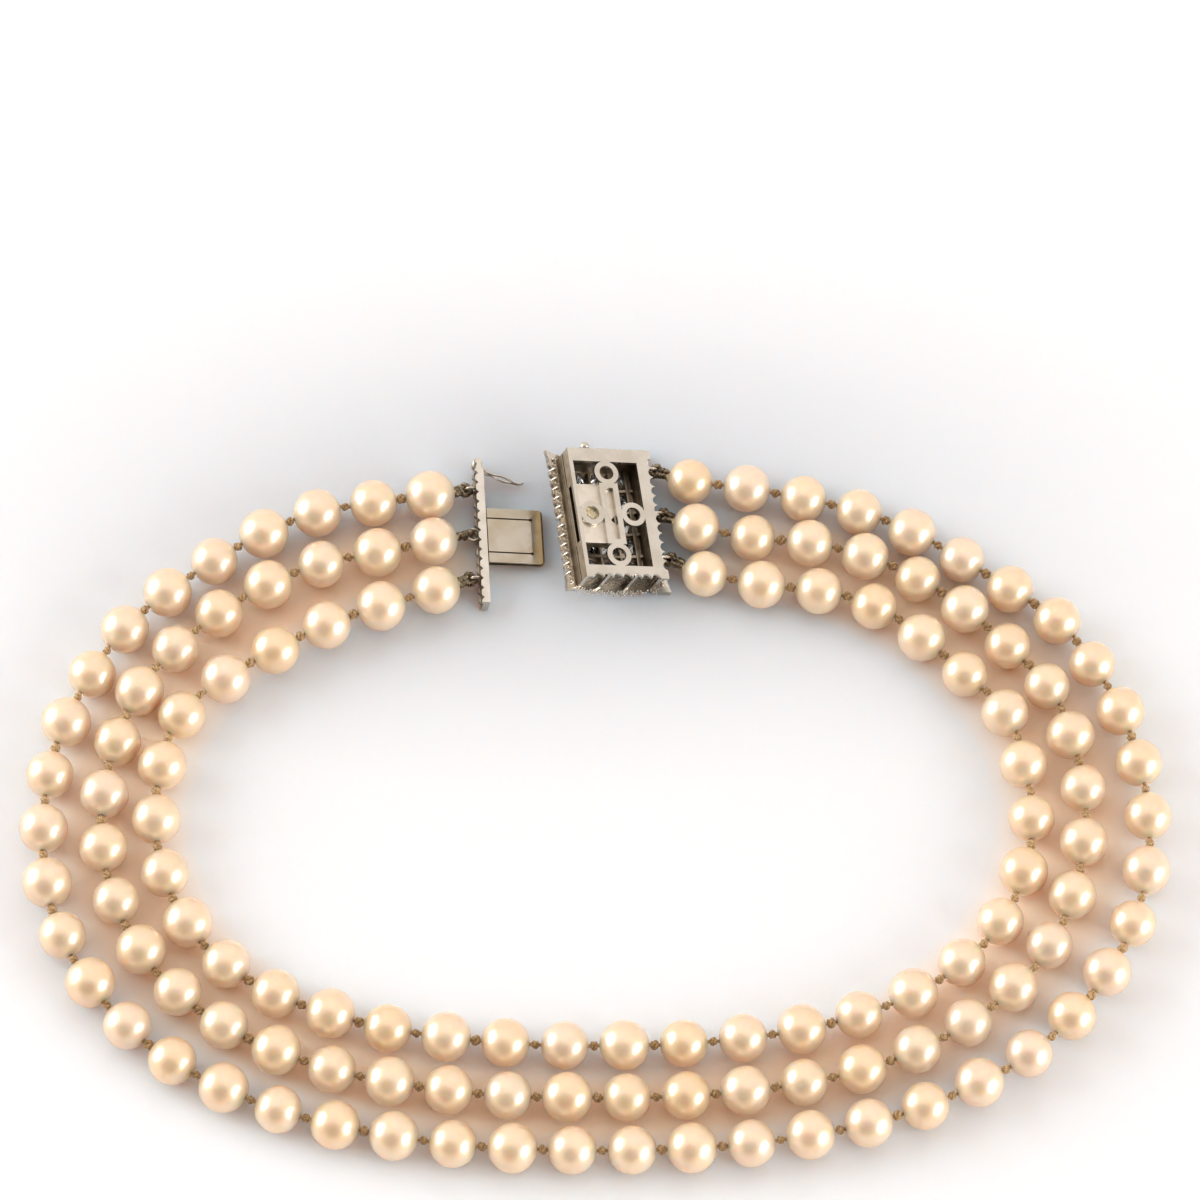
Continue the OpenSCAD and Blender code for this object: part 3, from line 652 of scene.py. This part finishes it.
knot = makeKnot()
for name in strandNames:
    seats, ways = strands[name]["seats"], strands[name]["headings"]
    path = [threadEnd(seats[0], middleOf("end_loop_tongue_" + name))]
    parts = []
    for i, ((centre, radius), way) in enumerate(zip(seats, ways)):
        path += [centre - way * radius, centre + way * radius]
        if i:                  # a knot between this pearl and the one before
            a, b = path[-3], path[-2]
            along = (b - a).normalized()
            size = draw.uniform(knotShape["least"], knotShape["most"]) * mm
            thick = knotShape["thick"] * size
            matrix = (Matrix.Translation((a + b) / 2) @ turnTo(along, draw.uniform(0, math.tau))
                      @ Matrix.Diagonal((thick, thick, knotShape["long"] * size, 1)))
            parts.append(copyOf(knot, matrix))
    path.append(threadEnd(seats[-1], middleOf("end_loop_case_" + name)))
    thread = wire("thread", path, threadShape["thick"] / 2 * mm, sides=2)
    settle(joined([thread] + parts, "silk_thread_" + name), silk, "necklace", "silk", "thread_" + name)
discard(knot)


# End loops of coiled wire, in mm
coilShape = {
    "loop": 0.75, "coil": 0.42, "wire": 0.11, "turns": 36, "steps": 9,
    "uneven": [(0.16, 0.61, 0), (0.14, 0.23, 1)],      # waves of the coil's radius: share, pace and start
    "sweep": 150, "points": 25,        # degrees that the loop turns each way, and its points
    "tail": 0.25, "spread": 0.36,      # the tails' distance from the pearl and from their middle
}


def coilAlong(path, name):     # a coiled wire whose middle runs along the points
    lengths = [0.0]
    for a, b in zip(path, path[1:]):
        lengths.append(lengths[-1] + (b - a).length)
    count = coilShape["turns"] * coilShape["steps"]
    points = []
    side = (path[2] - path[0]).normalized().orthogonal()
    for i in range(count + 1):
        s = lengths[-1] * i / count
        k = max(j for j in range(len(path) - 1) if lengths[j] <= s)
        t = (s - lengths[k]) / (lengths[k + 1] - lengths[k])
        at = path[k].lerp(path[k + 1], t)
        along = (path[min(k + 2, len(path) - 1)] - path[max(0, k - 1)]).normalized()
        side = (side - along * side.dot(along)).normalized()
        up = along.cross(side)
        turn = math.tau * i / coilShape["steps"]
        r = coilShape["coil"] * mm * (
            1 + sum(share * math.sin(i * pace + start) for share, pace, start in coilShape["uneven"]))
        points.append(at + (side * math.cos(turn) + up * math.sin(turn)) * r)
    return wire(name, points, coilShape["wire"] * mm, sides=1)


for half, seat in (("tongue", barSeat), ("case", caseSeat)):
    for name in strandNames:
        node = f"end_loop_{half}_{name}"
        middle = middleOf(node)
        centre, radius = strands[name]["seats"][0 if half == "tongue" else -1]
        toPearl = (centre - middle).normalized()
        lying = half == "tongue" and name == "middle"      # its ring stands up, so that the loop lies flat
        upright = seat.to_3x3().normalized() @ Vector((0, 0, 1) if lying else (0, 1, 0))
        side = (upright - toPearl * upright.dot(toPearl)).normalized()
        loop = []
        for j in range(coilShape["points"]):
            a = math.radians(coilShape["sweep"] * (2 * j / (coilShape["points"] - 1) - 1))
            loop.append(middle + (side * math.sin(a) - toPearl * math.cos(a)) * coilShape["loop"] * mm)
        tail = centre - toPearl * (radius + coilShape["tail"] * mm)
        apart = side * coilShape["spread"] * mm
        coil = coilAlong([tail - apart] + loop + [tail + apart], "coiled_" + node)
        settle(coil, agedCoil, "necklace", "coil_wire", node)


# Both halves of the clasp: copies of the solids with their edges eased, in their own millimetres
easeLook = {
    "weld": 2e-6,                              # m
    "flat": 1.5, "sharp": 32, "smooth": 28,    # degrees: up to flat is one face, from sharp an edge is eased
    "faceWeight": 90,                          # how far large faces rule the shading beside them
}
caseZones = {                  # faces that get a darker metal as painted shade
    "underPlate": -0.58, "left": -7.1, "right": 6, "end": 10.02,
    "slitLeft": -6.88, "slitRight": -6.2, "slitHalf": 5.1, "slitLow": -2.4,
    "postsTop": -0.7, "endWall": 9.8, "facing": 0.9,
}
barZones = {
    "tongue": 0.72,            # where the spring starts
    "channel": {"left": -0.7, "right": -0.2, "low": -2.9, "high": -0.62, "half": 11.3},
    "earHigh": (-0.9, 0), "earEdge": (0.6, 0.95),      # the upper ear's heights, and its edge from the pin
    "earIn": 0.42,             # share by which that edge goes in
}


def easedCopy(nodeName, name, width):
    piece = bpy.data.objects.new(name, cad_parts[nodeName].data.copy())
    bpy.context.scene.collection.objects.link(piece)
    selectOnly(piece)
    if piece.data.has_custom_normals:
        bpy.ops.mesh.customdata_custom_splitnormals_clear()
    startEdit(piece)
    bpy.ops.mesh.select_all(action="SELECT")
    bpy.ops.mesh.remove_doubles(threshold=easeLook["weld"])
    bpy.ops.mesh.dissolve_limited(angle_limit=math.radians(easeLook["flat"]))
    endEdit()
    bevel = piece.modifiers.new("ease", "BEVEL")
    bevel.width = width * mm
    bevel.segments = 2
    bevel.limit_method = "ANGLE"
    bevel.angle_limit = math.radians(easeLook["sharp"])
    applyModifiers(piece)
    smoothBy(piece, easeLook["smooth"])
    level = piece.modifiers.new("level", "WEIGHTED_NORMAL")
    level.keep_sharp = True
    level.weight = easeLook["faceWeight"]
    applyModifiers(piece)
    return piece


caseBody = easedCopy("clasp_case", "case_body", 0.05)
settle(caseBody, [whiteGold, dullShadeGold, slitShadeGold, recessShadeGold], "necklace", "white_gold", "clasp_case")
zone = caseZones
turnBack = caseSeat.to_3x3().normalized().transposed()
for face in caseBody.data.polygons:    # only the back plate, rings, ball and the front's edge are polished; the faces inside, the slit and the walls behind the posts get painted shade
    at = toCase @ face.center
    way = turnBack @ face.normal
    below = at.z < zone["underPlate"]
    out = abs(at.y)
    inside = below and zone["left"] < at.x < zone["right"] and out < zone["end"]
    # painted shade: the slit's faces are nearly black
    inSlit = (below and at.z > zone["slitLow"] and zone["slitLeft"] < at.x < zone["slitRight"]
              and out < zone["slitHalf"])
    # painted shade on the end walls behind the posts
    behindPosts = (at.z < zone["postsTop"] and zone["endWall"] < out < zone["end"]
                   and abs(way.y) > zone["facing"])
    face.material_index = 3 if behindPosts else 2 if inSlit else 1 if inside else 0

tongue = easedCopy("tongue_bar", "bar_and_tongue", 0.04)
settle(tongue, [whiteGold, springGold, dullShadeGold], "necklace", "white_gold", "tongue_bar")
earLow, earTop = barZones["earHigh"]
edgeIn, edgeOut = barZones["earEdge"]
for v in tongue.data.vertices:         # the upper ear is narrow, so the winding on the pin shows round it
    at = toBar @ v.co
    out = Vector((at.x, at.y - catchPin.y, 0))
    if earLow < at.z < earTop and edgeIn < out.length < edgeOut:
        v.co = barSeat @ (at - out * barZones["earIn"])
channel = barZones["channel"]
for face in tongue.data.polygons:      # the folded tongue is of the spring metal, with painted shade on its nose; the bar's channel is dull, with painted shade
    at = toBar @ face.center
    if at.x > barZones["tongue"]:
        face.material_index = 1
    elif (channel["left"] < at.x < channel["right"] and channel["low"] < at.z < channel["high"]
          and abs(at.y) < channel["half"]):
        face.material_index = 2


# The front plate, which carries the stones, and its trim, all in the case's own millimetres
plate = {
    "x": -0.25, "y": 0.15, "width": 17.1, "length": 23.2, "radius": 22, "thick": 0.9, "depth": 3.5,
    "stone": 2.9, "smallStone": 1.1, "pitchX": 3.6, "pitchY": 3.75, "lobesY": 13, "lobesX": 9,
    "corner": 3.9, "lobeIn": 0.75, "notch": 6, "borderIn": 0.1,
}
archZ = -plate["depth"] - plate["thick"] - plate["width"] ** 2 / 8 / plate["radius"] + plate["radius"]
sideX = plate["width"] / 2 - plate["lobeIn"]           # middles of the side lobes and of the end lobes
endY = plate["length"] / 2 - plate["lobeIn"]


def onArch(across, along):     # +Z points out of the front face
    turn = Matrix.Rotation(-math.asin(across / plate["radius"]), 4, "Y")
    return (Matrix.Translation((plate["x"], plate["y"] + along, archZ)) @ turn
            @ Matrix.Translation((0, 0, -plate["radius"])) @ Matrix.Rotation(math.pi, 4, "X"))


mainPlaces = [(x * plate["pitchX"], y * plate["pitchY"]) for x in (-1, 0, 1) for y in (-2, -1, 0, 1, 2)]
lobeY = (plate["length"] - plate["corner"]) / (plate["lobesY"] - 1)
lobeX = (plate["width"] - plate["corner"]) / (plate["lobesX"] - 1)
sideLobes = [(s, (i - (plate["lobesY"] - 1) / 2) * lobeY) for s in (-1, 1) for i in range(plate["lobesY"])
             if s > 0 or i != plate["notch"]]
endLobes = [((i - (plate["lobesX"] - 1) / 2) * lobeX, s) for s in (-1, 1) for i in range(plate["lobesX"])]
borderPlaces = ([(s * (sideX - plate["borderIn"]), y) for s, y in sideLobes]
                + [(x, s * (endY - plate["borderIn"])) for x, s in endLobes])

# Rails of the stone cells inside the case
railShape = {"thick": 0.4, "high": 0.85, "sunk": 0.02, "half": 5.3, "steps": 14, "long": 17.6, "ease": 0.06}
wallRails = {"low": -5.1, "long": 18.4, "ease": 0.15, "rails": [(4.15, 0.8, 1.3), (-5.6, 0.5, 1.0)]}


def crossRail(along):          # its section is drawn at one side and spun round the plate's arch
    backRadius = plate["radius"] - plate["thick"]
    half = math.asin(railShape["half"] / backRadius)
    rail = started("rail", bpy.ops.mesh.primitive_plane_add, size=1)
    rail.data.transform(Matrix.Rotation(half, 4, "Y") @ Matrix.Translation(
        (0, along, -backRadius + railShape["high"] / 2 - railShape["sunk"]))
        @ Matrix.Rotation(math.pi / 2, 4, "Y")
        @ Matrix.Diagonal((railShape["high"], railShape["thick"], 1, 1)))
    startEdit(rail)
    bpy.ops.mesh.select_all(action="SELECT")
    bpy.ops.mesh.spin(steps=railShape["steps"], angle=2 * half, center=(0, along, 0), axis=(0, 1, 0),
                      use_auto_merge=False)
    turnOutwards()
    endEdit()
    rail.data.transform(Matrix.Translation((plate["x"], plate["y"], archZ)))
    return rail


def longRail(matrix, ease, segments):
    rail = started("rail", bpy.ops.mesh.primitive_cube_add, size=1)
    rail.data.transform(matrix)
    bevelAll(rail, ease, segments)
    return rail


rails = [crossRail(row * plate["pitchY"]) for row in (-1.5, -0.5, 0.5, 1.5)]
for across in (-plate["pitchX"] / 2, plate["pitchX"] / 2):
    deep = plate["thick"] + railShape["high"] / 2 - railShape["sunk"]
    rails.append(longRail(onArch(across, 0) @ Matrix.Translation((0, 0, -deep)) @ Matrix.Diagonal(
        (railShape["thick"], railShape["long"], railShape["high"], 1)), railShape["ease"], 2))
for across, wide, high in wallRails["rails"]:
    rails.append(longRail(Matrix.Translation((across, 0, wallRails["low"] + high / 2)) @ Matrix.Diagonal(
        (wide, wallRails["long"], high, 1)), wallRails["ease"], 3))
cells = joined(rails, "cell_rails")
cells.data.transform(caseSeat)
smoothBy(cells, 30)
# the rails inside the case get the dull metal with painted shade
settle(cells, dullShadeGold, "necklace", "white_gold")

# Sheet over the tongue's pocket: soldered under the back plate, its inner edge notched for the spring
pocketShape = {
    "left": -6.8, "right": -0.2, "half": 5.03, "low": -0.75, "thick": 0.14,
    "notch": 0.9, "notchY": -1.0, "ease": 0.04,
    "sharp": 0.5,              # radians, edges with more than this are eased
}
shape = pocketShape
pocketMiddle = (shape["left"] + shape["right"]) / 2
pocket = started("pocket_sheet", bpy.ops.mesh.primitive_plane_add, size=1)
pocket.data.transform(Matrix.Translation((pocketMiddle, 0, shape["low"]))
                      @ Matrix.Diagonal((shape["right"] - shape["left"], 2 * shape["half"], 1, 1)))
startEdit(pocket)
for y in (-shape["notch"], 0, shape["notch"]):
    bpy.ops.mesh.select_all(action="SELECT")
    bpy.ops.mesh.bisect(plane_co=(0, shape["notchY"] + y, 0), plane_no=(0, 1, 0))
mesh = bmesh.from_edit_mesh(pocket.data)
for v in mesh.verts:
    if v.co.x > pocketMiddle and abs(v.co.y - shape["notchY"]) < slack:
        v.co.x -= shape["notch"]
bmesh.update_edit_mesh(pocket.data)
bpy.ops.mesh.select_all(action="SELECT")
bpy.ops.mesh.extrude_region_move(TRANSFORM_OT_translate={"value": (0, 0, shape["thick"])})
turnOutwards()
pick(pocket, "edges", lambda e: e.calc_face_angle(0) > shape["sharp"])
bpy.ops.mesh.bevel(offset=shape["ease"], segments=2)
endEdit()
smoothBy(pocket, 30)
pocket.data.transform(caseSeat)
settle(pocket, pocketGold, "necklace", "white_gold")

patchShape = {"place": (-4.1, 0.15), "half": (0.95, 1.1, 0.16), "lump": 0.4, "rough": 0.45}
patch = started("solder_patch", bpy.ops.mesh.primitive_ico_sphere_add, subdivisions=3, radius=1)
lumpy(patch, patchShape["lump"], patchShape["rough"])
patch.data.transform(caseSeat @ Matrix.Translation((*patchShape["place"], shape["low"] + shape["thick"]))
                     @ Matrix.Diagonal((*patchShape["half"], 1)))
smoothBy(patch, 60)
settle(patch, solder, "necklace", "white_gold")

# Claws round the main stones, prongs between the side lobes, grains on the end lobes, bearing rings
clawShape = {
    "radius": 0.26, "long": 0.85, "proud": 0.16, "round": 0.6, "out": 0.06, "turns": (45, 135, 225, 315),
}
prongShape = {"radius": 0.32, "proud": 0.35, "round": 0.75, "out": 0.12}
grainShape = {"radius": 0.17, "rim": 0.62, "turns": (-66, -22, 22, 66), "proud": 0.02}
bearingShape = {"radius": 0.36, "wire": 0.13}
claw = started("claw", bpy.ops.mesh.primitive_cylinder_add,
               vertices=8, radius=clawShape["radius"], depth=clawShape["long"])
startEdit(claw)
pick(claw, "edges", lambda e: all(v.co.z > 0 for v in e.verts))
bpy.ops.mesh.bevel(offset=clawShape["radius"] * clawShape["round"], segments=2)
endEdit()
smoothBy(claw, 50)
grain = started("grain", bpy.ops.mesh.primitive_uv_sphere_add,
                segments=8, ring_count=6, radius=grainShape["radius"])
smoothBy(grain, 180)
prong = started("prong", bpy.ops.mesh.primitive_cylinder_add,
                vertices=10, radius=prongShape["radius"], depth=plate["thick"] + 2 * prongShape["proud"])
startEdit(prong)
pick(prong, "edges", lambda e: abs(e.verts[0].co.z - e.verts[1].co.z) < slack)
bpy.ops.mesh.bevel(offset=prongShape["radius"] * prongShape["round"], segments=3)
endEdit()
smoothBy(prong, 50)
bearing = started("bearing", bpy.ops.mesh.primitive_torus_add,
                  major_radius=bearingShape["radius"], minor_radius=bearingShape["wire"],
                  major_segments=12, minor_segments=6)
smoothBy(bearing, 180)
studs = []
for across, along in mainPlaces:
    for turn in clawShape["turns"]:
        a = math.radians(turn)
        r = plate["stone"] / 2 + clawShape["out"]
        studs.append(copyOf(claw, onArch(across, along) @ Matrix.Translation(
            (r * math.cos(a), r * math.sin(a), clawShape["proud"] - clawShape["long"] / 2))))
for side in (-1, 1):               # the ends of the prongs are seen from both sides
    for i in range(plate["lobesY"] + 1):
        along = (i - plate["lobesY"] / 2) * lobeY
        seat = onArch(side * (sideX + prongShape["out"]), along)
        studs.append(copyOf(prong, seat @ Matrix.Translation((0, 0, -plate["thick"] / 2))))
for across, side in endLobes:
    for turn in grainShape["turns"]:
        a = math.radians(turn)
        at = (across + grainShape["rim"] * math.sin(a), side * (endY + grainShape["rim"] * math.cos(a)))
        for deep in (grainShape["proud"], -plate["thick"] - grainShape["proud"]):
            studs.append(copyOf(grain, onArch(*at) @ Matrix.Translation((0, 0, deep))))
for side, along in sideLobes:
    seat = onArch(side * sideX, along)
    studs.append(copyOf(bearing, seat @ Matrix.Translation((0, 0, -plate["thick"]))))
studs = joined(studs, "claws_and_grains")
studs.data.transform(caseSeat)
settle(studs, whiteGold, "necklace", "white_gold")
discard(claw, grain, prong, bearing)


# Cut stones, as rings of corners: height and radius in girdle diameters, number of corners, turn in degrees
fullCut = [(0.0, 0.29, 8, 0), (-0.06, 0.4, 8, 22.5), (-0.15, 0.5, 16, 0), (-0.2, 0.5, 16, 0),
           (-0.52, 0.135, 8, 22.5), (-0.62, 0.01, 8, 0)]
singleCut = [(0.0, 0.29, 8, 0), (-0.15, 0.5, 8, 0), (-0.2, 0.5, 8, 0), (-0.62, 0.02, 8, 0)]


def makeStone(rings, size):    # table upwards at height 0
    made = []
    for height, share, corners, turn in rings:
        ring = started("ring", bpy.ops.mesh.primitive_circle_add, vertices=corners, radius=share * size)
        ring.data.transform(Matrix.Translation((0, 0, height * size))
                            @ Matrix.Rotation(math.radians(turn), 4, "Z"))
        made.append(ring)
    stone = joined(made, "stone")
    startEdit(stone)
    bpy.ops.mesh.select_all(action="SELECT")
    bpy.ops.mesh.convex_hull()
    turnOutwards()
    endEdit()
    return stone


for cut, places, size, name, node in (
        (fullCut, mainPlaces, plate["stone"], "main_brilliants", "front_stones"),
        (singleCut, borderPlaces, plate["smallStone"], "border_brilliants", "border_stones")):
    stone = makeStone(cut, size)
    copies = [copyOf(stone, caseSeat @ onArch(*at) @ Matrix.Rotation(draw.uniform(0, math.tau), 4, "Z"))
              for at in places]
    settle(joined(copies, name), diamond, "necklace", "cut_stone", node)
    discard(stone)


# Safety catch: one wire, wound round the pin and bent to a flat eight, in the bar's own millimetres
catchShape = {
    "wire": 0.19, "wind": 0.62, "turns": 2.5, "rise": 0.84, "lead": 0.35, "steps": 30, "bendSteps": 5,
    # points from the pin to the tip: along x, along y, half the wires' distance, lean from upright in degrees
    "route": [(0.5, -0.72, 0.3, 50), (1.35, -1.6, 0.24, 30), (2.2, -1.92, 0.22, 5), (2.9, -2.18, 0.5, 0),
              (3.4, -2.36, 0.68, 0), (3.95, -2.57, 0.72, 0), (4.5, -2.77, 0.62, 0), (5.1, -3.0, 0.34, 0),
              (5.7, -3.22, 0.2, 0), (6.3, -3.38, 0.19, 0), (6.75, -3.3, 0.17, 0), (7.0, -3.12, 0.06, 0)],
}
upper, lower = [], []
route = catchShape["route"]
for i, (x, y, half, lean) in enumerate(route):
    before, after = route[max(0, i - 1)], route[min(len(route) - 1, i + 1)]
    along = Vector((after[0] - before[0], after[1] - before[1], 0)).normalized()
    across = Vector((-along.y, along.x, 0))
    tip = math.radians(lean)
    off = (across * math.sin(tip) + Vector((0, 0, 1)) * math.cos(tip)) * half
    upper.append(Vector((x, y, 0)) + off)
    lower.append(Vector((x, y, 0)) - off)
winding = []
startAngle = math.atan2(lower[0].y, lower[0].x) - catchShape["lead"]
for i in range(catchShape["steps"] + 1):
    done = i / catchShape["steps"]
    a = startAngle - math.tau * catchShape["turns"] * done
    winding.append(Vector((catchShape["wind"] * math.cos(a), catchShape["wind"] * math.sin(a),
                           catchShape["rise"] * (done - 0.5))))
lowerBend = rounded(lower, catchShape["bendSteps"])
upperBend = rounded(upper, catchShape["bendSteps"])
catch = wire("catch_wire", list(reversed(lowerBend)) + winding + upperBend, catchShape["wire"],
             sides=3, closed=True)
catch.data.transform(barSeat @ Matrix.Translation(catchPin))
settle(catch, whiteGold, "safety_catch", "white_gold", "safety_catch")
